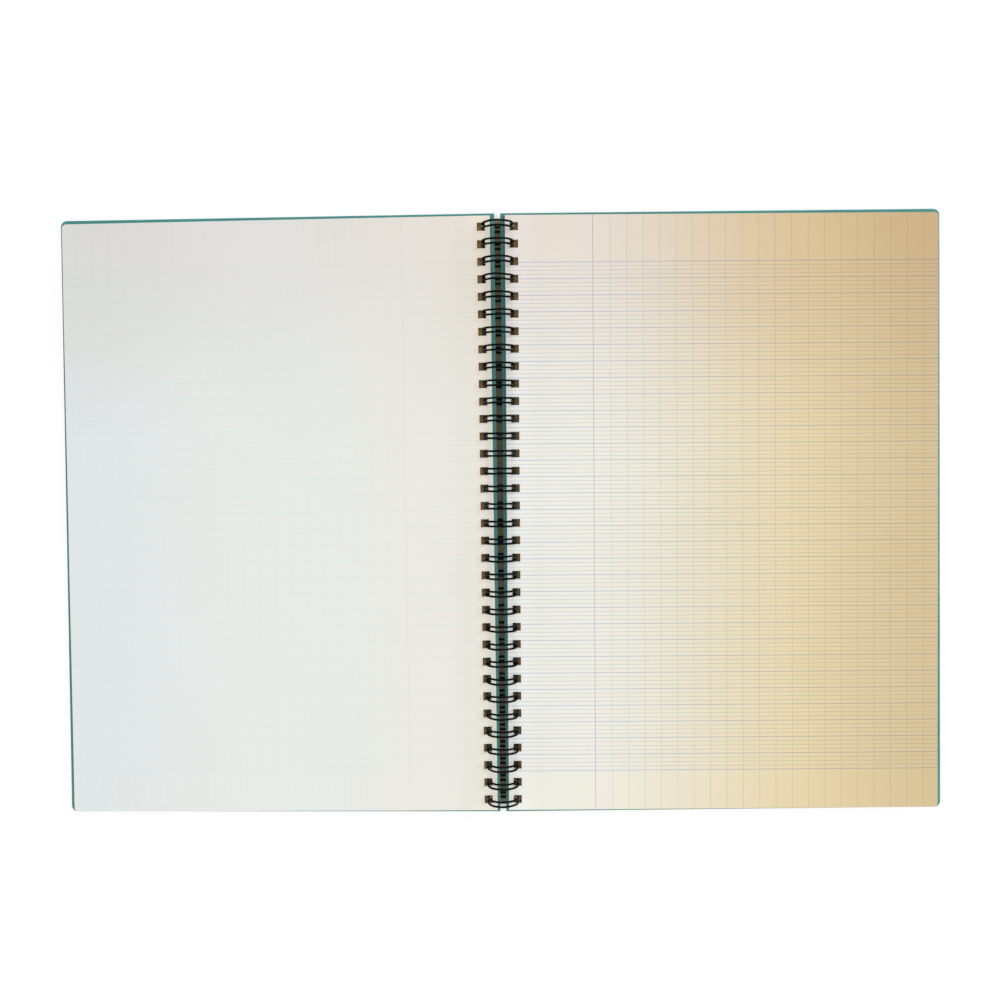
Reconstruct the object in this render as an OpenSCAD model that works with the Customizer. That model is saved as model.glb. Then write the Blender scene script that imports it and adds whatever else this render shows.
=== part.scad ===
// Open hardcover notebook held by a twin-wire binding.
// X runs across the open notebook, Y along the binding, and Z = 0 is the surface it lies on.

/* [Sheets] */
// Width of a sheet, from its punched edge to its free edge
sheet_w = 210; // [100:1:300]
// Height of a sheet, along the binding
sheet_h = 290; // [140:1:320]
// Thickness of the stack of sheets on each side
stack_t = 2.1; // [1:0.1:6]
// Radius of the free corners of a sheet
sheet_corner_r = 2; // [1:0.5:10]
// Angle at which the sheets lie askew on the covers, nearer the binding at its lower end, in degrees
stack_skew = 0.18; // [0:0.02:0.3]

/* [Covers] */
// Thickness of a cover board
board_t = 1.8; // [1:0.1:3]
// How far a cover stands out past the sheets on its three free sides
cover_overhang = 1.5; // [1:0.5:5]
// Radius of the free corners of a cover
cover_corner_r = 3; // [1:0.5:12]

/* [Punched holes] */
// Width of a hole in a sheet, across the sheet
hole_w = 4; // [3.5:0.1:6]
// Width of a hole in a cover, across the cover
cover_hole_w = 3.2; // [3:0.1:6]
// Height of a hole, along the binding
hole_h = 4; // [3.8:0.1:5.5]
// Paper left between a sheet's punched edge and its holes
sheet_land = 2.3; // [2:0.1:4]
// Board left between a cover's punched edge and its holes
cover_land = 3.3; // [1.5:0.1:3.8]
// Least distance from the end of a sheet to the middle of its first hole
end_margin = 5; // [4:0.5:12]

/* [Binding] */
// Distance from one double loop to the next
loop_pitch = 8.467; // [7:0.001:13]
// Distance between the two wires of a double loop, centre to centre
twin_spacing = 2.3; // [1.6:0.1:2.5]
// Diameter of the wire
wire_d = 1; // [0.6:0.1:1.2]
// Room inside the loops beyond the thickness of the closed notebook
loop_room = 4.7; // [2:0.1:7]
// How much thinner the wire is drawn by its tight bends, at the tips and at the seam
bend_thinning = 0.1; // [0.06:0.02:0.2]
// Radius of the bend from a loop into the straight wire beside it
bend_r = 0.8; // [0.6:0.1:1.2]
// Gap between the rounded tips of the loops and the straight wires they are rolled against
tip_gap = 0.5; // [0.2:0.1:1]
// Angle round the loops at which the straight wires lie, from the right-hand side, in degrees
seam_angle = -72; // [-80:1:-66]
// Straight wire left past the first and last loops
end_stub = 0.8; // [0.4:0.1:2]

/* [Clearances] */
// Gap left between the two stacks of sheets when the notebook is closed
closed_gap = 0.9; // [0.4:0.1:2]
// Gap between a stack of sheets and its cover
cover_gap = 0.1; // [0.05:0.05:0.3]
// Gap between the wire and the side of a hole that it pulls against
wire_gap = 0.25; // [0.15:0.05:0.4]

/* [Hidden] */

// Heights are counted down from the centre line of the loops, square to the sheets
stack_top = closed_gap / 2;
stack_bottom = stack_top + stack_t;
board_top = stack_bottom + cover_gap;
board_bottom = board_top + board_t;

// The loops, and how high their centre line lies
loop_inner_r = board_bottom + loop_room / 2;
loop_r = loop_inner_r + wire_d / 2;
loop_z = loop_r + wire_d / 2;

// The row of loops along Y
loop_count = floor((sheet_h - 2 * end_margin) / loop_pitch) + 1;
row_half = (loop_count - 1) * loop_pitch / 2;
loop_ys = [for (i = [0 : loop_count - 1]) i * loop_pitch - row_half];
arm_ys = [for (y = loop_ys, side = [-1, 1]) y + side * twin_spacing / 2];

// How far from the centre line the near side of a hole lies, to clear the loops down to a depth
function near_side(depth) = sqrt(pow(loop_inner_r - wire_gap, 2) - depth * depth);

sheet_hole_x = near_side(stack_bottom);
board_hole_x = near_side(board_bottom);

// Askew sheets lie this much nearer the binding, so that each of their holes still clears its loop
askew_shift = row_half * sin(stack_skew);

// The covers, and the tilt that brings their free edges down to the surface
cover_spine_x = board_hole_x - cover_land;
cover_free_x = sheet_hole_x - sheet_land + sheet_w + cover_overhang;
cover_h = sheet_h + 2 * cover_overhang;
cover_tilt = asin(loop_z / norm([cover_free_x, board_bottom])) - atan2(board_bottom, cover_free_x);

// Angles round the loops at which the wire bends into its seam and at which its tips begin
arm_end = seam_angle - bend_r / loop_r * 180 / PI;
seam_length = bend_r + wire_d + tip_gap + twin_spacing / 2;
tip_start = arm_end + seam_length / loop_r * 180 / PI;
bar_start = twin_spacing / 2 + bend_r;
bend_lap = 8;
bent_wire_d = wire_d - bend_thinning;

// Puts a shape drawn about the loops' centre line on the right-hand side, at the covers' tilt
module right_side() {
    translate([0, 0, loop_z])
        rotate([0, cover_tilt, 0])
            children();
}

module left_side() {
    mirror([1, 0, 0])
        right_side()
            children();
}

// A rectangle from x0 to x1, centred along Y, with its two free corners rounded
module leaf_outline(x0, x1, height, corner_r) {
    translate([x0, -height / 2])
        square([x1 - x0 - corner_r, height]);
    translate([x0, corner_r - height / 2])
        square([x1 - x0, height - 2 * corner_r]);
    for (side = [-1, 1])
        translate([x1 - corner_r, side * (height / 2 - corner_r)])
            circle(r = corner_r, $fn = 48);
}

// The row of holes, starting at x
module hole_row(x, width) {
    for (y = loop_ys)
        translate([x, y - hole_h / 2])
            square([width, hole_h]);
}

module cover_board() {
    translate([0, 0, -board_bottom])
        linear_extrude(board_t)
            difference() {
                leaf_outline(cover_spine_x, cover_free_x, cover_h, cover_corner_r);
                hole_row(board_hole_x, cover_hole_w);
            }
}

// A stack turned askew about the near side of its holes, half way along the binding
module sheet_stack() {
    translate([sheet_hole_x - askew_shift, 0, -stack_bottom])
        rotate([0, 0, -stack_skew])
            linear_extrude(stack_t)
                difference() {
                    leaf_outline(-sheet_land, sheet_w - sheet_land, sheet_h, sheet_corner_r);
                    hole_row(0, hole_w);
                }
}

// A point on the loops: X points outwards, Y along the binding and Z on round the loop
module on_loop(angle) {
    translate([0, 0, loop_z])
        rotate([0, -angle, 0])
            translate([loop_r, 0, 0])
                children();
}

// A tight bend in the YZ plane, from one angle on through a turn, sunk a little into the wire at both ends
module wire_bend(radius, from, turn) {
    rotate([0, 90, 0])
        rotate([0, 0, from - bend_lap])
            rotate_extrude(angle = turn + 2 * bend_lap, $fn = 48)
                translate([radius, 0])
                    circle(d = bent_wire_d, $fn = 24);
}

module loop_arms() {
    translate([0, 0, loop_z])
        rotate([90, 0, 0])
            rotate([0, 0, tip_start])
                rotate_extrude(angle = 360 + arm_end - tip_start, $fn = 96)
                    for (y = arm_ys)
                        translate([loop_r, y])
                            circle(d = wire_d, $fn = 24);
}

module loop_tip() {
    on_loop(tip_start)
        wire_bend(twin_spacing / 2, -90, 180);
}

// One arm's bend into the seam
module arm_bend() {
    translate([0, twin_spacing / 2 + bend_r, 0])
        wire_bend(bend_r, 180, 90);
}

module seam_wire(y0, y1) {
    on_loop(arm_end)
        translate([0, y0, bend_r])
            rotate([-90, 0, 0])
                cylinder(h = y1 - y0, d = wire_d, $fn = 24);
}

module front_cover() {
    color([0.16, 0.44, 0.40])
        left_side()
            cover_board();
}

module back_cover() {
    color([0.13, 0.36, 0.32])
        right_side()
            cover_board();
}

module turned_sheets() {
    color([0.92, 0.93, 0.90])
        left_side()
            sheet_stack();
}

module remaining_sheets() {
    color([0.93, 0.89, 0.78])
        right_side()
            sheet_stack();
}

module binding_wire() {
    color([0.06, 0.06, 0.07])
        union() {
            loop_arms();
            for (y = loop_ys)
                translate([0, y, 0]) {
                    loop_tip();
                    on_loop(arm_end) {
                        arm_bend();
                        mirror([0, 1, 0]) arm_bend();
                    }
                }
            for (i = [0 : loop_count - 2])
                seam_wire(loop_ys[i] + bar_start, loop_ys[i + 1] - bar_start);
            seam_wire(-row_half - bar_start - end_stub, -row_half - bar_start);
            seam_wire(row_half + bar_start, row_half + bar_start + end_stub);
        }
}

front_cover();
turned_sheets();
remaining_sheets();
back_cover();
binding_wire();
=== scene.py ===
import math
import random
import bmesh
import bpy
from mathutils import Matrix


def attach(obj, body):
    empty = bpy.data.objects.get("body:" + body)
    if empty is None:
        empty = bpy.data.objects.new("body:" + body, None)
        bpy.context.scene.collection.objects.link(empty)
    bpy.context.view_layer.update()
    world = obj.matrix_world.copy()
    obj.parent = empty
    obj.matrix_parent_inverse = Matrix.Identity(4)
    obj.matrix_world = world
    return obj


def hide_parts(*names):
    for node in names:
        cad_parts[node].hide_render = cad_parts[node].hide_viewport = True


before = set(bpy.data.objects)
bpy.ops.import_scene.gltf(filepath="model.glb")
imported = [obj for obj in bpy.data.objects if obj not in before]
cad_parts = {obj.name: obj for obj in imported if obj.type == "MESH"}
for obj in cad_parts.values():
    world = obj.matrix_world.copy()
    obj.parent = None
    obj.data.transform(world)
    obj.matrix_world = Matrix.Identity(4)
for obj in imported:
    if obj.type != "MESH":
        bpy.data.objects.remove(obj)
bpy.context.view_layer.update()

mm = 0.001
degree = math.pi / 180
near = 0.1 * mm  # room in the tests on where a face or an edge lies
veryNear = 0.01 * mm
wallRise = 0.5  # a face whose normal rises less than this is a wall
level = 0.99  # and one whose normal rises more than this is level
scene = bpy.context.scene
scene.view_settings.view_transform = "Standard"
print("frame loaded:", len(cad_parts), "nodes")


# small helpers

def screenColour(red, green, blue):
    # a colour as a paint program shows it, 0 to 255, made linear for the shaders
    linear = []
    for value in (red, green, blue):
        value = value / 255
        linear.append(value / 12.92 if value <= 0.04045 else ((value + 0.055) / 1.055) ** 2.4)
    return (linear[0], linear[1], linear[2], 1.0)


def pickOnly(piece):
    # the operators act on all that is selected, so only this piece stays selected
    bpy.ops.object.select_all(action="DESELECT")
    piece.select_set(True)
    bpy.context.view_layer.objects.active = piece


def nameNewest(name):
    piece = bpy.context.active_object
    piece.name = name
    piece.data.name = name
    return piece


def settle(piece):
    # moves the object's place, turn and scale into its mesh
    pickOnly(piece)
    bpy.ops.object.transform_apply(location=True, rotation=True, scale=True)


def startEdit(piece, kind):
    pickOnly(piece)
    bpy.ops.object.mode_set(mode="EDIT")
    bpy.ops.mesh.select_mode(type=kind)


def endEdit():
    bpy.ops.object.mode_set(mode="OBJECT")


def selectWhere(test):
    # in edit mode: selects what passes the test, in the current select mode
    bpy.ops.mesh.select_all(action="DESELECT")
    data = bpy.context.edit_object.data
    mesh = bmesh.from_edit_mesh(data)
    mode = bpy.context.tool_settings.mesh_select_mode
    parts = mesh.verts if mode[0] else mesh.edges if mode[1] else mesh.faces
    for part in parts:
        if test(part):
            part.select_set(True)
    bmesh.update_edit_mesh(data)


def isWall(face):
    return abs(face.normal.z) < wallRise


def dressWhere(piece, slotNumber, test):
    # in edit mode: gives the faces that pass the test the material in that slot
    selectWhere(test)
    piece.active_material_index = slotNumber
    bpy.ops.object.material_slot_assign()


def midpoint(edge):
    return (edge.verts[0].co + edge.verts[1].co) / 2


def alongBinding(edge):
    return abs(edge.verts[0].co.y - edge.verts[1].co.y)


def finishWith(piece, kind, **settings):
    # adds one modifier, sets it and applies it
    pickOnly(piece)
    bpy.ops.object.modifier_add(type=kind)
    modifier = piece.modifiers[-1]
    for key, value in settings.items():
        setattr(modifier, key, value)
    bpy.ops.object.modifier_apply(modifier=modifier.name)


def removePiece(piece):
    pickOnly(piece)
    bpy.ops.object.delete()


def copyPiece(piece, name):
    pickOnly(piece)
    bpy.ops.object.duplicate(linked=False)
    return nameNewest(name)


def outwards(piece):
    startEdit(piece, "FACE")
    bpy.ops.mesh.select_all(action="SELECT")
    bpy.ops.mesh.normals_make_consistent(inside=False)
    endEdit()


# the camera, over the binding and looking straight down

cameraView = {
    "height": 490 * mm,  # above the table
    "across": 0.4 * mm,
    "along": 26.4 * mm,  # towards the top of the pages
    "pitch": -1.17 * degree,
    "yaw": 0.825 * degree,
    "roll": -0.61 * degree,
    "lens": 35.71,
    "sensor": 36,
    "shiftAcross": 0.0137,
    "shiftUp": -0.0196,
}

bpy.ops.object.camera_add(location=(cameraView["across"], cameraView["along"], cameraView["height"]),
                          rotation=(cameraView["pitch"], cameraView["yaw"], cameraView["roll"]))
camera = bpy.context.active_object
camera.name = "camera"
camera.data.lens = cameraView["lens"]
camera.data.sensor_width = cameraView["sensor"]
camera.data.shift_x = cameraView["shiftAcross"]
camera.data.shift_y = cameraView["shiftUp"]
scene.camera = camera
print("camera placed")


# measures that the pieces share

binding = {
    "centreHeight": 7.8 * mm,  # centre line of the loops above the table
    "pitch": 8.467 * mm,
    "loops": 34,
    "leafSlope": 0.89196 * degree,  # covers slope down to their free edges
}
rowHalf = (binding["loops"] - 1) * binding["pitch"] / 2
punchDepth = 10 * mm  # more than any leaf is thick


def layLeaf(piece, mirrored):
    # a leaf is drawn flat about the loops' centre line, then laid down on its side
    piece.rotation_euler = (0, binding["leafSlope"], 0)
    piece.location = (0, 0, binding["centreHeight"])
    settle(piece)
    if mirrored:
        piece.scale = (-1, 1, 1)
        settle(piece)
        outwards(piece)


def holePunch(nearSide, width, height, middleHeight):
    # the row of square punches, to cut with
    bpy.ops.object.select_all(action="DESELECT")
    bpy.ops.mesh.primitive_cube_add(size=1, location=(nearSide + width / 2, -rowHalf, middleHeight),
                                    scale=(width, height, punchDepth))
    punch = nameNewest("punch")
    settle(punch)
    finishWith(punch, "ARRAY", count=binding["loops"], use_relative_offset=False,
               use_constant_offset=True, constant_offset_displace=(0, binding["pitch"], 0))
    return punch


def punchThrough(piece, punch):
    finishWith(piece, "BOOLEAN", operation="DIFFERENCE", object=punch, solver="EXACT")
    removePiece(punch)


# shader groups

def newGroup(name, inputs, outputs):
    group = bpy.data.node_groups.new(name, "ShaderNodeTree")
    for socketName, kind in inputs:
        group.interface.new_socket(socketName, in_out="INPUT", socket_type=kind)
    for socketName, kind in outputs:
        group.interface.new_socket(socketName, in_out="OUTPUT", socket_type=kind)
    return group


def addNode(tree, kind, **settings):
    node = tree.nodes.new(kind)
    for key, value in settings.items():
        setattr(node, key, value)
    return node


def feed(tree, target, source):
    # a plain number or colour is set, a socket is linked
    if isinstance(source, bpy.types.NodeSocket):
        tree.links.new(source, target)
    else:
        target.default_value = source


def maths(tree, operation, *values):
    node = addNode(tree, "ShaderNodeMath", operation=operation)
    for place, value in enumerate(values):
        feed(tree, node.inputs[place], value)
    return node.outputs[0]


def mixColours(tree, factor, first, second, blend="MIX"):
    node = addNode(tree, "ShaderNodeMix", data_type="RGBA", blend_type=blend)
    feed(tree, node.inputs["Factor"], factor)
    feed(tree, node.inputs[6], first)
    feed(tree, node.inputs[7], second)
    return node.outputs[2]


def multiplied(tree, shade, tint):
    return mixColours(tree, 1.0, shade, tint, "MULTIPLY")


def smoothRange(tree, value, low, high, start=0.0, end=1.0):
    node = addNode(tree, "ShaderNodeMapRange", interpolation_type="SMOOTHSTEP")
    feed(tree, node.inputs["Value"], value)
    feed(tree, node.inputs["From Min"], low)
    feed(tree, node.inputs["From Max"], high)
    feed(tree, node.inputs["To Min"], start)
    feed(tree, node.inputs["To Max"], end)
    return node.outputs["Result"]


def noise(tree, vector, scale, detail, roughness):
    node = addNode(tree, "ShaderNodeTexNoise")
    tree.links.new(vector, node.inputs["Vector"])
    feed(tree, node.inputs["Scale"], scale)
    feed(tree, node.inputs["Detail"], detail)
    feed(tree, node.inputs["Roughness"], roughness)
    return node.outputs["Fac"]


grainNoise = {
    "grainDetail": 4.0,
    "grainRoughness": 0.62,
    "patchDetail": 2.0,
    "patchRoughness": 0.45,
}


def makeSurfaceGrain():
    # fine tooth and cloudy patches, for paper and for laminated board
    group = newGroup("surfaceGrain",
                     [("Vector", "NodeSocketVector"), ("Grain Scale", "NodeSocketFloat"),
                      ("Patch Scale", "NodeSocketFloat"), ("Relief", "NodeSocketFloat"),
                      ("Relief Depth", "NodeSocketFloat")],
                     [("Grain", "NodeSocketFloat"), ("Patches", "NodeSocketFloat"),
                      ("Normal", "NodeSocketVector")])
    ends = addNode(group, "NodeGroupInput")
    out = addNode(group, "NodeGroupOutput")
    grain = noise(group, ends.outputs["Vector"], ends.outputs["Grain Scale"],
                  grainNoise["grainDetail"], grainNoise["grainRoughness"])
    patches = noise(group, ends.outputs["Vector"], ends.outputs["Patch Scale"],
                    grainNoise["patchDetail"], grainNoise["patchRoughness"])
    bump = addNode(group, "ShaderNodeBump")
    group.links.new(ends.outputs["Relief"], bump.inputs["Strength"])
    group.links.new(ends.outputs["Relief Depth"], bump.inputs["Distance"])
    group.links.new(grain, bump.inputs["Height"])
    group.links.new(grain, out.inputs["Grain"])
    group.links.new(patches, out.inputs["Patches"])
    group.links.new(bump.outputs["Normal"], out.inputs["Normal"])
    return group


def makeSchoolRuling():
    # traditional ruling: 8 mm squares, three faint lines in each, and a margin line
    inputs = ("Across", "Up", "Spacing", "Faint Spacing", "Margin", "First Space", "Top Line",
              "Bottom Line", "Line Width", "Faint Width")
    outputs = ("Lines", "Uprights", "Faint Lines", "Margin Line")
    group = newGroup("schoolRuling", [(socketName, "NodeSocketFloat") for socketName in inputs],
                     [(socketName, "NodeSocketFloat") for socketName in outputs])
    ends = addNode(group, "NodeGroupInput")
    out = addNode(group, "NodeGroupOutput")
    half = 0.5

    def nearLine(value, spacing, width):
        distance = maths(group, "PINGPONG", value, maths(group, "MULTIPLY", spacing, half))
        return maths(group, "LESS_THAN", distance, maths(group, "MULTIPLY", width, half))

    across, up = ends.outputs["Across"], ends.outputs["Up"]
    spacing, width = ends.outputs["Spacing"], ends.outputs["Line Width"]
    fromTop = maths(group, "SUBTRACT", ends.outputs["Top Line"], up)
    halfSpace = maths(group, "MULTIPLY", spacing, half)
    aboveTop = maths(group, "MULTIPLY", spacing, -half)
    belowBottom = maths(group, "SUBTRACT", ends.outputs["Bottom Line"], halfSpace)
    ruledPart = maths(group, "MULTIPLY", maths(group, "GREATER_THAN", fromTop, aboveTop),
                      maths(group, "GREATER_THAN", up, belowBottom))
    faintPart = maths(group, "MULTIPLY",
                      maths(group, "GREATER_THAN", fromTop, 0.0),
                      maths(group, "GREATER_THAN", up, ends.outputs["Bottom Line"]))
    lines = maths(group, "MULTIPLY", nearLine(fromTop, spacing, width), ruledPart)
    faintLines = nearLine(fromTop, ends.outputs["Faint Spacing"], ends.outputs["Faint Width"])
    faint = maths(group, "MULTIPLY", faintLines, faintPart)
    fromMargin = maths(group, "SUBTRACT", across, ends.outputs["Margin"])
    fromFirst = maths(group, "SUBTRACT", fromMargin, ends.outputs["First Space"])
    pastMargin = maths(group, "GREATER_THAN", fromMargin, halfSpace)
    uprights = maths(group, "MULTIPLY", nearLine(fromFirst, spacing, width), pastMargin)
    margin = maths(group, "LESS_THAN", maths(group, "ABSOLUTE", fromMargin),
                   maths(group, "MULTIPLY", width, half))
    group.links.new(lines, out.inputs["Lines"])
    group.links.new(uprights, out.inputs["Uprights"])
    group.links.new(faint, out.inputs["Faint Lines"])
    group.links.new(margin, out.inputs["Margin Line"])
    return group


surfaceGrain = makeSurfaceGrain()
schoolRuling = makeSchoolRuling()


def newMaterial(name):
    material = bpy.data.materials.new(name)
    material.use_nodes = True
    tree = material.node_tree
    shader = tree.nodes["Principled BSDF"]
    place = addNode(tree, "ShaderNodeTexCoord").outputs["Object"]
    return material, tree, shader, place


def placeGroup(tree, group, **values):
    node = addNode(tree, "ShaderNodeGroup", node_tree=group)
    for key, value in values.items():
        feed(tree, node.inputs[key.replace("_", " ")], value)
    return node


def placeGrain(tree, place, look):
    return placeGroup(tree, surfaceGrain, Vector=place, Grain_Scale=look["grainScale"],
                      Patch_Scale=look["patchScale"], Relief=look["relief"],
                      Relief_Depth=look["reliefDepth"])


def makeTwoTone(name, look):
    # a light colour, darker where the grain and the patches run high
    material, tree, shader, place = newMaterial(name)
    shader.inputs["Roughness"].default_value = look["roughness"]
    shader.inputs["Specular IOR Level"].default_value = look["shine"]
    grain = placeGrain(tree, place, look)
    light, dark = screenColour(*look["lightColour"]), screenColour(*look["darkColour"])
    grainShare = smoothRange(tree, grain.outputs["Grain"], look["grainFrom"], look["grainTo"],
                             0.0, look["grainMost"])
    patchShare = smoothRange(tree, grain.outputs["Patches"], look["patchFrom"], look["patchTo"],
                             0.0, look["patchMost"])
    shade = mixColours(tree, patchShare, mixColours(tree, grainShare, light, dark), dark)
    tree.links.new(shade, shader.inputs["Base Color"])
    tree.links.new(grain.outputs["Normal"], shader.inputs["Normal"])
    return material


print("shader groups made")


# the sheets

sheet = {
    "width": 210 * mm,
    "height": 290 * mm,
    "land": 2.3 * mm,  # paper between the punched edge and the holes
    "hole": 4 * mm,
    "cornerRadius": 2 * mm,
    "cornerSteps": 6,
    "thickness": 0.094 * mm,
    "across": 12,  # faces across and up a sheet, so that it can cockle
    "up": 16,
}

stack = {
    "sheets": 21,
    "topDepth": 0.45 * mm,  # below the loops' centre line
    "nearSide": 5.594 * mm,  # near side of the holes, half way along the binding
    "skew": -0.18 * degree,  # the sheets lie nearer the binding at its lower end
    "step": 0.1 * mm,
    "shiftAcross": 0.06 * mm,  # how unevenly the sheets lie
    "shiftAlong": 0.12 * mm,
    "cockle": 0.5 * mm,
    "cockleSize": 70 * mm,
    "cockleDepth": 1,  # octaves of the noise
    "flatSheets": 4,  # the lowest sheets stay flat on the cover
    "layerUnder": 0.97,  # shares of a step within which a sheet's corners lie
    "layerOver": 0.03,
    "wallsNear": 2.2 * mm,  # the holes' walls lie within these distances of their near side
    "wallsFar": 5.5 * mm,
    "wallsPastRow": 3.5 * mm,
    "turnedSeed": 7,
    "remainingSeed": 3,
}


def makeSheet():
    bpy.ops.object.select_all(action="DESELECT")
    bpy.ops.mesh.primitive_grid_add(x_subdivisions=sheet["across"], y_subdivisions=sheet["up"], size=1,
                                    location=(sheet["width"] / 2 - sheet["land"], 0, 0))
    piece = nameNewest("sheet")
    piece.scale = (sheet["width"], sheet["height"], 1)
    settle(piece)
    freeEdge = sheet["width"] - sheet["land"]
    startEdit(piece, "VERT")
    selectWhere(lambda vert: vert.co.x > freeEdge - mm and abs(vert.co.y) > sheet["height"] / 2 - mm)
    bpy.ops.mesh.bevel(offset=sheet["cornerRadius"], segments=sheet["cornerSteps"], affect="VERTICES")
    endEdit()
    finishWith(piece, "SOLIDIFY", thickness=sheet["thickness"], offset=-1)
    punchThrough(piece, holePunch(0, sheet["hole"], sheet["hole"], 0))
    return piece


def makeStack(name, oneSheet, seed, mirrored):
    piece = copyPiece(oneSheet, name)
    finishWith(piece, "ARRAY", count=stack["sheets"], use_relative_offset=False, use_constant_offset=True,
               constant_offset_displace=(0, 0, -stack["step"]))
    chance = random.Random(seed)
    pickOnly(piece)
    cockled = piece.vertex_groups.new(name="cockled")
    startEdit(piece, "VERT")
    for number in range(stack["sheets"]):
        top = -number * stack["step"]
        under, over = top - stack["step"] * stack["layerUnder"], top + stack["step"] * stack["layerOver"]
        selectWhere(lambda vert: under < vert.co.z < over)
        across = chance.uniform(-1, 1) * stack["shiftAcross"]
        along = chance.uniform(-1, 1) * stack["shiftAlong"]
        bpy.ops.transform.translate(value=(across, along, 0))
        share = 1 - number / (stack["sheets"] - stack["flatSheets"])
        bpy.context.tool_settings.vertex_group_weight = max(0, share)
        bpy.ops.object.vertex_group_assign()
    endEdit()
    waves = bpy.data.textures.new(name + "Cockle", "CLOUDS")
    waves.noise_scale = stack["cockleSize"]
    waves.noise_depth = stack["cockleDepth"]
    finishWith(piece, "DISPLACE", texture=waves, texture_coords="LOCAL", direction="Z", mid_level=0.5,
               strength=stack["cockle"], vertex_group=cockled.name)
    piece.rotation_euler = (0, 0, stack["skew"])
    piece.location = (stack["nearSide"], 0, -stack["topDepth"])
    settle(piece)
    layLeaf(piece, mirrored)
    return piece


oneSheet = makeSheet()
turnedSheets = makeStack("turned_stack", oneSheet, stack["turnedSeed"], True)
remainingSheets = makeStack("remaining_stack", oneSheet, stack["remainingSeed"], False)
removePiece(oneSheet)
print("stacks of sheets:", len(turnedSheets.data.polygons), "faces each")


paperLook = {
    "roughness": 0.78,
    "shine": 0.25,
    "grainScale": 1400,
    "patchScale": 16,
    "relief": 0.12,
    "reliefDepth": 0.05 * mm,
    "patchFrom": 0.35, "patchTo": 0.7,
    "patchMost": 0.05,
    "patchTint": (225, 215, 195),
    "grainFrom": 0.45, "grainTo": 0.75,
    "grainMost": 0.06,
    "grainTint": (205, 200, 190),
    "spacing": 8 * mm,
    "faintSpacing": 2 * mm,
    "topLine": 122.2 * mm,
    "bottomLine": -125.8 * mm,
    "firstSpace": 8.4 * mm,  # from the margin line to the first upright
    "lineWidth": 0.26 * mm,
    "faintWidth": 0.16 * mm,
    "spineFrom": 16 * mm,  # painted light: a lighter strip along the binding, lifting the loops' shade off the page
    "spineTo": 4 * mm,
    "topFrom": 20 * mm,  # painted shade: a slightly darker and pinker tone towards the top of the page
    "topTo": 150 * mm,
}

# the left page's colours carry painted light: cooler and a little darker towards the outer edge
turnedPaper = {
    "side": -1,
    "spinePaintedLightColour": (251, 246, 232),
    "nearPaintedLightColour": (237, 235, 226),
    "midPaintedLightColour": (232, 235, 232),
    "farPaintedLightColour": (225, 231, 231),
    "topPaintedShadeColour": (248, 243, 242),
    "topFarPaintedShadeColour": (246, 239, 235),
    "midFrom": 10 * mm, "midTo": 110 * mm,
    "farFrom": 110 * mm, "farTo": 215 * mm,
    "topFarFrom": 110 * mm, "topFarTo": 200 * mm,
    "margin": 42.8 * mm,
    "lineColour": (134, 225, 255),
    "marginColour": (190, 190, 240),
    "ink": 0.18,
    "uprightInk": 0.1,
    "faintInk": 0.16,
    "marginInk": 0.25,
}

# the right page's colours carry painted light: warm tan and darker towards the outer edge
remainingPaper = {
    "side": 1,
    "spinePaintedLightColour": (246, 247, 240),
    "nearPaintedLightColour": (238, 237, 226),
    "midPaintedLightColour": (231, 213, 170),
    "farPaintedLightColour": (215, 194, 151),
    "topPaintedShadeColour": (246, 238, 238),
    "topFarPaintedShadeColour": (241, 231, 227),
    "midFrom": 20 * mm, "midTo": 160 * mm,
    "farFrom": 130 * mm, "farTo": 215 * mm,
    "topFarFrom": 30 * mm, "topFarTo": 140 * mm,
    "margin": 42.4 * mm,
    "lineColour": (134, 177, 255),
    "marginColour": (217, 165, 232),
    "ink": 0.78,
    "uprightInk": 0.37,
    "faintInk": 0.67,
    "marginInk": 1.0,
}


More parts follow.
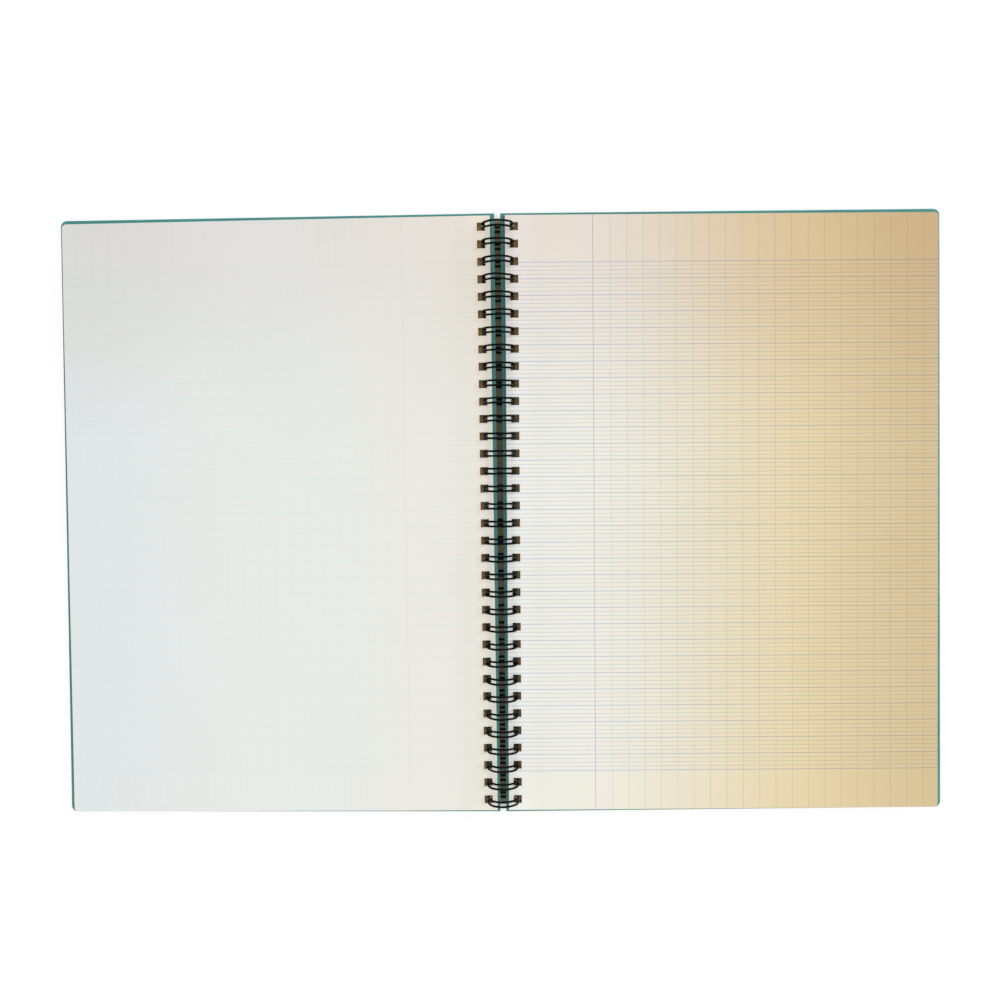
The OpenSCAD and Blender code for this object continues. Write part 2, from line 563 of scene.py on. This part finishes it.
def makeRuledPaper(name, own):
    material, tree, shader, place = newMaterial(name)
    shader.inputs["Roughness"].default_value = paperLook["roughness"]
    shader.inputs["Specular IOR Level"].default_value = paperLook["shine"]
    split = addNode(tree, "ShaderNodeSeparateXYZ")
    turn = addNode(tree, "ShaderNodeMapping")
    tree.links.new(place, turn.inputs["Vector"])
    turn.inputs["Rotation"].default_value = (0, 0, -own["side"] * stack["skew"])
    tree.links.new(turn.outputs["Vector"], split.inputs["Vector"])
    spineEdge = stack["nearSide"] - sheet["land"]
    across = maths(tree, "SUBTRACT", maths(tree, "MULTIPLY", split.outputs["X"], own["side"]), spineEdge)
    up = split.outputs["Y"]
    ruling = placeGroup(tree, schoolRuling, Across=across, Up=up, Spacing=paperLook["spacing"],
                        Faint_Spacing=paperLook["faintSpacing"], Margin=own["margin"],
                        First_Space=paperLook["firstSpace"], Top_Line=paperLook["topLine"],
                        Bottom_Line=paperLook["bottomLine"], Line_Width=paperLook["lineWidth"],
                        Faint_Width=paperLook["faintWidth"])
    grain = placeGrain(tree, place, paperLook)
    # cream paper with painted light across it, shifting in tone from the binding to the outer edge
    paper = mixColours(tree, smoothRange(tree, across, own["midFrom"], own["midTo"]),
                       screenColour(*own["nearPaintedLightColour"]), screenColour(*own["midPaintedLightColour"]))
    paper = mixColours(tree, smoothRange(tree, across, own["farFrom"], own["farTo"]),
                       paper, screenColour(*own["farPaintedLightColour"]))
    # painted light beside the binding, lifting the loops' shade off the page
    paintedLightBesideSpine = smoothRange(tree, across, paperLook["spineTo"], paperLook["spineFrom"], 1.0, 0.0)
    paper = mixColours(tree, paintedLightBesideSpine, paper, screenColour(*own["spinePaintedLightColour"]))
    # painted shade towards the top of the page
    topPaintedShade = mixColours(tree, smoothRange(tree, across, own["topFarFrom"], own["topFarTo"]),
                         screenColour(*own["topPaintedShadeColour"]), screenColour(*own["topFarPaintedShadeColour"]))
    paper = mixColours(tree, smoothRange(tree, up, paperLook["topFrom"], paperLook["topTo"]), paper,
                       multiplied(tree, paper, topPaintedShade))
    patchShare = smoothRange(tree, grain.outputs["Patches"], paperLook["patchFrom"], paperLook["patchTo"],
                             0.0, paperLook["patchMost"])
    paper = mixColours(tree, patchShare, paper,
                       multiplied(tree, paper, screenColour(*paperLook["patchTint"])))
    grainShare = smoothRange(tree, grain.outputs["Grain"], paperLook["grainFrom"], paperLook["grainTo"],
                             0.0, paperLook["grainMost"])
    paper = mixColours(tree, grainShare, paper,
                       multiplied(tree, paper, screenColour(*paperLook["grainTint"])))
    inked = multiplied(tree, paper, screenColour(*own["lineColour"]))
    marginInked = multiplied(tree, paper, screenColour(*own["marginColour"]))
    faint = maths(tree, "MULTIPLY", ruling.outputs["Faint Lines"], own["faintInk"])
    uprights = maths(tree, "MULTIPLY", ruling.outputs["Uprights"], own["uprightInk"])
    lines = maths(tree, "MULTIPLY", ruling.outputs["Lines"], own["ink"])
    strongest = maths(tree, "MAXIMUM", maths(tree, "MAXIMUM", faint, uprights), lines)
    printed = mixColours(tree, strongest, paper, inked)
    printed = mixColours(tree, maths(tree, "MULTIPLY", ruling.outputs["Margin Line"], own["marginInk"]),
                         printed, marginInked)
    tree.links.new(printed, shader.inputs["Base Color"])
    tree.links.new(grain.outputs["Normal"], shader.inputs["Normal"])
    return material


# the trimmed edges of the sheets are a little darker and streaked
cutEdgeLook = {
    "lightColour": (226, 216, 190),
    "darkColour": (176, 158, 122),
    "roughness": 0.85,
    "shine": 0.2,
    "grainScale": 2600,
    "grainFrom": 0.35, "grainTo": 0.7,
    "grainMost": 0.6,
    "patchScale": 60,
    "patchFrom": 0.3, "patchTo": 0.7,
    "patchMost": 0.0,
    "relief": 0.3,
    "reliefDepth": 0.05 * mm,
}

# painted shade: the walls of the punched holes are golden brown, for the dim warm light inside the holes
holeWallShadeLook = {
    "lightColour": (186, 148, 88),
    "darkColour": (120, 88, 44),
    "roughness": 0.9,
    "shine": 0.15,
    "grainScale": 2600,
    "grainFrom": 0.3, "grainTo": 0.7,
    "grainMost": 0.0,
    "patchScale": 120,
    "patchFrom": 0.3, "patchTo": 0.7,
    "patchMost": 1.0,
    "relief": 0.3,
    "reliefDepth": 0.05 * mm,
}


def dressStack(piece, ruled, own, trimmed, holeWallShade):
    # slot 0 the printed faces, slot 1 the trimmed edges, slot 2 the walls of the holes, in painted shade
    for material in (ruled, trimmed, holeWallShade):
        piece.data.materials.append(material)
    side = own["side"]
    nearSide = stack["nearSide"]
    wallsFrom, wallsTo = nearSide - stack["wallsNear"], nearSide + stack["wallsFar"]
    startEdit(piece, "FACE")
    dressWhere(piece, 1, isWall)
    dressWhere(piece, 2, lambda face: isWall(face)
               and wallsFrom < side * face.calc_center_median().x < wallsTo
               and abs(face.calc_center_median().y) < rowHalf + stack["wallsPastRow"])
    endEdit()


trimmedPaper = makeTwoTone("trimmedPaperEdges", cutEdgeLook)
holeWallPaintedShade = makeTwoTone("holeWallsInPaintedShade", holeWallShadeLook)
for piece, name, own in ((turnedSheets, "ruledPaperTurned", turnedPaper),
                         (remainingSheets, "ruledPaperRemaining", remainingPaper)):
    dressStack(piece, makeRuledPaper(name, own), own, trimmedPaper, holeWallPaintedShade)
print("paper dressed")


# the covers

cover = {
    "spineEdge": 1.506 * mm,
    "freeEdge": 215.233 * mm,
    "height": 293 * mm,
    "topDepth": 2.65 * mm,
    "thickness": 1.8 * mm,
    "cornerRadius": 3 * mm,
    "cornerSteps": 8,
    "edgeRound": 0.35 * mm,
    "edgeSteps": 3,
    "rimShare": 0.45,  # the faces' rims lie further than this share of the thickness from the middle
    "turnIn": 2.0 * mm,  # covering paper turned in round the board
    "lining": 0.06 * mm,
    "holeNear": 4.806 * mm,
    "holeWidth": 3.2 * mm,
    "holeHeight": 4 * mm,
}


def makeBoard():
    bpy.ops.object.select_all(action="DESELECT")
    width = cover["freeEdge"] - cover["spineEdge"]
    topFace = -cover["topDepth"]
    middle = topFace - cover["thickness"] / 2
    bpy.ops.mesh.primitive_cube_add(size=1, location=(cover["spineEdge"] + width / 2, 0, middle),
                                    scale=(width, cover["height"], cover["thickness"]))
    piece = nameNewest("board")
    settle(piece)
    startEdit(piece, "EDGE")
    selectWhere(lambda edge: midpoint(edge).x > cover["freeEdge"] - mm
                and abs(midpoint(edge).z - middle) < near and alongBinding(edge) < mm)
    bpy.ops.mesh.bevel(offset=cover["cornerRadius"], segments=cover["cornerSteps"], affect="EDGES")
    selectWhere(lambda edge: abs(midpoint(edge).z - middle) > cover["thickness"] * cover["rimShare"])
    bpy.ops.mesh.bevel(offset=cover["edgeRound"], segments=cover["edgeSteps"], affect="EDGES")
    bpy.ops.mesh.select_mode(type="FACE")
    selectWhere(lambda face: face.normal.z > level and face.calc_center_median().z > topFace - veryNear)
    bpy.ops.mesh.inset(thickness=cover["turnIn"] - cover["edgeRound"])
    bpy.ops.mesh.extrude_region_move(TRANSFORM_OT_translate={"value": (0, 0, cover["lining"])})
    endEdit()
    punchThrough(piece, holePunch(cover["holeNear"], cover["holeWidth"], cover["holeHeight"], middle))
    return piece


def dressBoard(piece, materials):
    # slot 0 covering paper, slot 1 lining paper, whose colour carries painted shade, slot 2 bare board in the
    # holes
    for material in materials:
        piece.data.materials.append(material)
    liningHeight = -cover["topDepth"] + cover["lining"] / 2
    holeMiddle = cover["holeNear"] + cover["holeWidth"] / 2
    startEdit(piece, "FACE")
    dressWhere(piece, 1, lambda face: face.calc_center_median().z > liningHeight - veryNear)
    dressWhere(piece, 2, lambda face: isWall(face)
               and abs(face.calc_center_median().x - holeMiddle) < cover["holeWidth"] / 2 + near
               and abs(face.calc_center_median().y) < rowHalf + cover["holeHeight"])
    endEdit()


coverLook = {
    "colour": (63, 145, 142),
    "shade": (58, 136, 133),
    "roughnessLow": 0.36,
    "roughnessHigh": 0.56,
    "grainScale": 700,
    "patchScale": 22,
    "relief": 0.25,
    "reliefDepth": 0.08 * mm,
    "low": 0.3, "high": 0.7,  # the part of the grain's and the patches' range that is used
    "wornColour": (150, 178, 166),
    "fleckFrom": 0.62, "fleckTo": 0.8,
    "fleckMost": 0.35,
    "rubbedSide": 1.2 * mm,  # how far in from the free side and from the ends the cover is rubbed
    "rubbedEnd": 0.8 * mm,
    "rubScale": 160,
    "rubDetail": 4.0,
    "rubRoughness": 0.6,
    "rubFrom": 0.5, "rubTo": 0.72,
    "rubMost": 0.6,
}

# a kraft paper lining on the board's inner face, hidden under the sheets; its golden brown is also painted
# shade, standing for the warm dim light seen down the holes
liningShadeLook = {
    "lightColour": (190, 150, 92),
    "darkColour": (160, 122, 70),
    "roughness": 0.8,
    "shine": 0.2,
    "grainScale": 900,
    "grainFrom": 0.3, "grainTo": 0.7,
    "grainMost": 1.0,
    "patchScale": 40,
    "patchFrom": 0.3, "patchTo": 0.7,
    "patchMost": 0.2,
    "relief": 0.3,
    "reliefDepth": 0.05 * mm,
}

bareBoardLook = dict(liningShadeLook, lightColour=(150, 128, 96), darkColour=(112, 92, 64),
                     roughness=0.9, grainScale=1600)


def makeCoverPaper():
    material, tree, shader, place = newMaterial("greenCoverPaper")
    grain = placeGrain(tree, place, coverLook)
    low, high = coverLook["low"], coverLook["high"]
    shade = mixColours(tree, smoothRange(tree, grain.outputs["Patches"], low, high),
                       screenColour(*coverLook["colour"]), screenColour(*coverLook["shade"]))
    fleck = smoothRange(tree, grain.outputs["Grain"], coverLook["fleckFrom"], coverLook["fleckTo"],
                        0.0, coverLook["fleckMost"])
    split = addNode(tree, "ShaderNodeSeparateXYZ")
    tree.links.new(place, split.inputs["Vector"])
    nearFree = smoothRange(tree, maths(tree, "ABSOLUTE", split.outputs["X"]),
                           cover["freeEdge"] - coverLook["rubbedSide"], cover["freeEdge"])
    nearEnd = smoothRange(tree, maths(tree, "ABSOLUTE", split.outputs["Y"]),
                          cover["height"] / 2 - coverLook["rubbedEnd"], cover["height"] / 2)
    rubs = noise(tree, place, coverLook["rubScale"], coverLook["rubDetail"], coverLook["rubRoughness"])
    rubbed = maths(tree, "MULTIPLY", maths(tree, "MAXIMUM", nearFree, nearEnd),
                   smoothRange(tree, rubs, coverLook["rubFrom"], coverLook["rubTo"],
                               0.0, coverLook["rubMost"]))
    shade = mixColours(tree, maths(tree, "MAXIMUM", fleck, rubbed), shade,
                       screenColour(*coverLook["wornColour"]))
    tree.links.new(shade, shader.inputs["Base Color"])
    roughness = smoothRange(tree, grain.outputs["Grain"], low, high,
                            coverLook["roughnessLow"], coverLook["roughnessHigh"])
    tree.links.new(roughness, shader.inputs["Roughness"])
    tree.links.new(grain.outputs["Normal"], shader.inputs["Normal"])
    return material


board = makeBoard()
dressBoard(board, (makeCoverPaper(), makeTwoTone("liningInPaintedShade", liningShadeLook),
                   makeTwoTone("bareBoard", bareBoardLook)))
backBoard = copyPiece(board, "back_board")
layLeaf(backBoard, False)
frontBoard = copyPiece(board, "front_board")
layLeaf(frontBoard, True)
removePiece(board)
print("covers made")


# the twin-wire binding

wire = {
    "thickness": 1.0 * mm,
    "loopRadius": 7.3 * mm,
    "twinSpacing": 2.3 * mm,
    "bendRadius": 0.8 * mm,
    "seamAngle": -78.28 * degree,  # where an arm bends into the seam
    "tipAngle": -51.2 * degree,  # where the rounded tip begins
    "endStub": 0.8 * mm,
    "sides": 14,
    "loopSteps": 38,
    "tipSteps": 12,
    "bendSteps": 6,
    "unevenness": 0.45 * mm,
    "unevenSize": 7 * mm,
    "endRound": 0.12 * mm,
    "endSteps": 2,
    "smoothAngle": 40 * degree,
}


def onLoop(angle, along, straightOn=0.0):
    # a point on the circle of the loops, or straight on from there along its tangent
    radius = wire["loopRadius"]
    return (radius * math.cos(angle) - straightOn * math.sin(angle), along,
            binding["centreHeight"] + radius * math.sin(angle) + straightOn * math.cos(angle))


def outwardAt(angle, sign):
    return (sign * math.cos(angle), 0, sign * math.sin(angle))


def bendRound(steps, angle, centre, axis):
    # draws the open end of the wire on, round an axis; the operator counts clockwise turns
    bpy.ops.mesh.spin(steps=steps, angle=-angle, center=centre, axis=axis)


def makeWire():
    halfTwin = wire["twinSpacing"] / 2
    bend = wire["bendRadius"]
    barEnd = halfTwin + bend
    halfPitch = binding["pitch"] / 2
    seam, tip = wire["seamAngle"], wire["tipAngle"]
    sweep = 2 * math.pi + seam - tip
    axisCentre = (0, 0, binding["centreHeight"])
    bpy.ops.object.select_all(action="DESELECT")
    bpy.ops.mesh.primitive_circle_add(vertices=wire["sides"], radius=wire["thickness"] / 2,
                                      fill_type="NOTHING", location=onLoop(seam, -halfPitch, bend),
                                      rotation=(math.pi / 2, 0, 0))
    piece = nameNewest("twin_wire")
    settle(piece)
    startEdit(piece, "EDGE")
    bpy.ops.mesh.select_all(action="SELECT")
    bpy.ops.mesh.extrude_region_move(TRANSFORM_OT_translate={"value": (0, halfPitch - barEnd, 0)})
    bendRound(wire["bendSteps"], math.pi / 2, onLoop(seam, -barEnd), outwardAt(seam, -1))
    bendRound(wire["loopSteps"], sweep, axisCentre, (0, 1, 0))
    bendRound(wire["tipSteps"], math.pi, onLoop(tip, 0), outwardAt(tip, 1))
    bendRound(wire["loopSteps"], sweep, axisCentre, (0, -1, 0))
    bendRound(wire["bendSteps"], math.pi / 2, onLoop(seam, barEnd), outwardAt(seam, -1))
    bpy.ops.mesh.extrude_region_move(TRANSFORM_OT_translate={"value": (0, halfPitch - barEnd, 0)})
    bpy.ops.mesh.select_all(action="SELECT")
    bpy.ops.transform.translate(value=(0, -rowHalf, 0))
    endEdit()
    finishWith(piece, "ARRAY", count=binding["loops"], use_relative_offset=False, use_constant_offset=True,
               constant_offset_displace=(0, binding["pitch"], 0), use_merge_vertices=True,
               merge_threshold=veryNear)
    # the end bars are cut back to short stubs and closed
    startEdit(piece, "VERT")
    for side in (-1, 1):
        selectWhere(lambda vert: side * vert.co.y > rowHalf + halfPitch - near)
        bpy.ops.transform.translate(value=(0, side * (barEnd + wire["endStub"] - halfPitch), 0))
        bpy.ops.mesh.edge_face_add()
        bpy.ops.mesh.bevel(offset=wire["endRound"], segments=wire["endSteps"], affect="EDGES")
    bpy.ops.mesh.select_all(action="SELECT")
    bpy.ops.mesh.normals_make_consistent(inside=False)
    endEdit()
    uneven = bpy.data.textures.new("wireUnevenness", "CLOUDS")
    uneven.noise_scale = wire["unevenSize"]
    uneven.cloud_type = "COLOR"
    finishWith(piece, "DISPLACE", texture=uneven, texture_coords="LOCAL", direction="RGB_TO_XYZ",
               mid_level=0.5, strength=wire["unevenness"])
    pickOnly(piece)
    bpy.ops.object.shade_smooth_by_angle(angle=wire["smoothAngle"])
    return piece


wireLook = {
    "colour": (6, 6, 7),
    "wornColour": (32, 32, 35),
    "shine": 0.07,
    "roughnessLow": 0.42,
    "roughnessHigh": 0.6,
    "grainScale": 1800,
    "patchScale": 90,
    "patchFrom": 0.3, "patchTo": 0.7,
    "relief": 0.15,
    "reliefDepth": 0.03 * mm,
    "scuffScale": 420,
    "scuffDetail": 5.0,
    "scuffRoughness": 0.7,
    "scuffFrom": 0.6, "scuffTo": 0.74,
    "scuffMost": 0.5,
}


def makeWireCoat():
    material, tree, shader, place = newMaterial("blackWireCoat")
    shader.inputs["Specular IOR Level"].default_value = wireLook["shine"]
    grain = placeGrain(tree, place, wireLook)
    scuffs = noise(tree, place, wireLook["scuffScale"], wireLook["scuffDetail"], wireLook["scuffRoughness"])
    scuffs = smoothRange(tree, scuffs, wireLook["scuffFrom"], wireLook["scuffTo"], 0.0, wireLook["scuffMost"])
    shade = mixColours(tree, scuffs, screenColour(*wireLook["colour"]),
                       screenColour(*wireLook["wornColour"]))
    tree.links.new(shade, shader.inputs["Base Color"])
    roughness = smoothRange(tree, grain.outputs["Patches"], wireLook["patchFrom"], wireLook["patchTo"],
                            wireLook["roughnessLow"], wireLook["roughnessHigh"])
    tree.links.new(roughness, shader.inputs["Roughness"])
    tree.links.new(grain.outputs["Normal"], shader.inputs["Normal"])
    return material


twinWire = makeWire()
twinWire.data.materials.append(makeWireCoat())
print("binding made:", len(twinWire.data.polygons), "faces")


# what each piece stands for

dressing = [
    (frontBoard, "front_cover", "cover_board"),
    (turnedSheets, "turned_sheets", "ruled_paper"),
    (remainingSheets, "remaining_sheets", "ruled_paper"),
    (backBoard, "back_cover", "cover_board"),
    (twinWire, "binding_wire", "enamelled_wire"),
]
bodyOf = {"binding_wire": "binding"}
for piece, node, slotName in dressing:
    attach(piece, bodyOf.get(node, node))
    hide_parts(node)


# the table, the lamps and the surroundings

table = {
    "size": 6.0,
    "roughness": 0.9,
    "colour": (250, 250, 250),
    "lift": 0.85,  # how far the camera sees the table as plain white, outside the shade
    "glow": 1.02,
    "gapColour": (178, 148, 120),  # the strip that shows between the covers
    "gapHalf": 1.7 * mm,
    "gapEnd": 144.5 * mm,
    "shadeFrom": 9 * mm,  # where the shade under the binding fades, to the sides and past its ends
    "shadeTo": 20 * mm,
    "endShadeFrom": 143 * mm,
    "endShadeTo": 149 * mm,
}


def makeTable():
    bpy.ops.object.select_all(action="DESELECT")
    bpy.ops.mesh.primitive_plane_add(size=table["size"], location=(0, 0, 0))
    piece = nameNewest("table_top")
    settle(piece)
    material, tree, shader, place = newMaterial("paleTable")
    shader.inputs["Roughness"].default_value = table["roughness"]
    split = addNode(tree, "ShaderNodeSeparateXYZ")
    tree.links.new(place, split.inputs["Vector"])
    fromMiddle = maths(tree, "ABSOLUTE", split.outputs["X"])
    along = maths(tree, "ABSOLUTE", split.outputs["Y"])
    inGap = maths(tree, "MULTIPLY", maths(tree, "LESS_THAN", along, table["gapEnd"]),
                  maths(tree, "LESS_THAN", fromMiddle, table["gapHalf"]))
    shaded = maths(tree, "MULTIPLY",
                   smoothRange(tree, along, table["endShadeFrom"], table["endShadeTo"], 1.0, 0.0),
                   smoothRange(tree, fromMiddle, table["shadeFrom"], table["shadeTo"], 1.0, 0.0))
    shade = mixColours(tree, inGap, screenColour(*table["colour"]), screenColour(*table["gapColour"]))
    tree.links.new(shade, shader.inputs["Base Color"])
    ray = addNode(tree, "ShaderNodeLightPath")
    seen = maths(tree, "MAXIMUM", ray.outputs["Is Camera Ray"], ray.outputs["Is Glossy Ray"])
    seen = maths(tree, "MAXIMUM", seen, ray.outputs["Is Transmission Ray"])
    unshaded = maths(tree, "SUBTRACT", 1.0, shaded)
    lift = maths(tree, "MULTIPLY", maths(tree, "MULTIPLY", seen, unshaded), table["lift"])
    glow = addNode(tree, "ShaderNodeEmission")
    glow.inputs["Color"].default_value = (1, 1, 1, 1)
    glow.inputs["Strength"].default_value = table["glow"]
    both = addNode(tree, "ShaderNodeMixShader")
    tree.links.new(lift, both.inputs[0])
    tree.links.new(shader.outputs[0], both.inputs[1])
    tree.links.new(glow.outputs[0], both.inputs[2])
    tree.links.new(both.outputs[0], tree.nodes["Material Output"].inputs["Surface"])
    piece.data.materials.append(material)
    return piece


makeTable()

surroundings = {
    "strength": 0.765,
    "colour": (1.0, 1.0, 1.0, 1.0),
}

world = bpy.data.worlds.new("softWhite")
scene.world = world
world.use_nodes = True
worldTree = world.node_tree
worldShade = worldTree.nodes["Background"]
worldShade.inputs["Color"].default_value = surroundings["colour"]
worldRay = addNode(worldTree, "ShaderNodeLightPath")
worldShade.inputs["Strength"].default_value = surroundings["strength"]
toWhite = maths(worldTree, "MULTIPLY", worldRay.outputs["Is Camera Ray"], 1 - surroundings["strength"])
worldStrength = maths(worldTree, "ADD", surroundings["strength"], toWhite)
worldTree.links.new(worldStrength, worldShade.inputs["Strength"])

keyLamp = {
    "strength": 1.5,
    "spread": 50 * degree,
    "turn": (0, 58 * degree, 20 * degree),  # from the right, and a little from the top
    "place": (0.6, 0.2, 0.8),
}

bpy.ops.object.light_add(type="SUN", rotation=keyLamp["turn"], location=keyLamp["place"])
lamp = bpy.context.active_object
lamp.name = "key_lamp"
lamp.data.energy = keyLamp["strength"]
lamp.data.angle = keyLamp["spread"]
print("table and lamps placed")
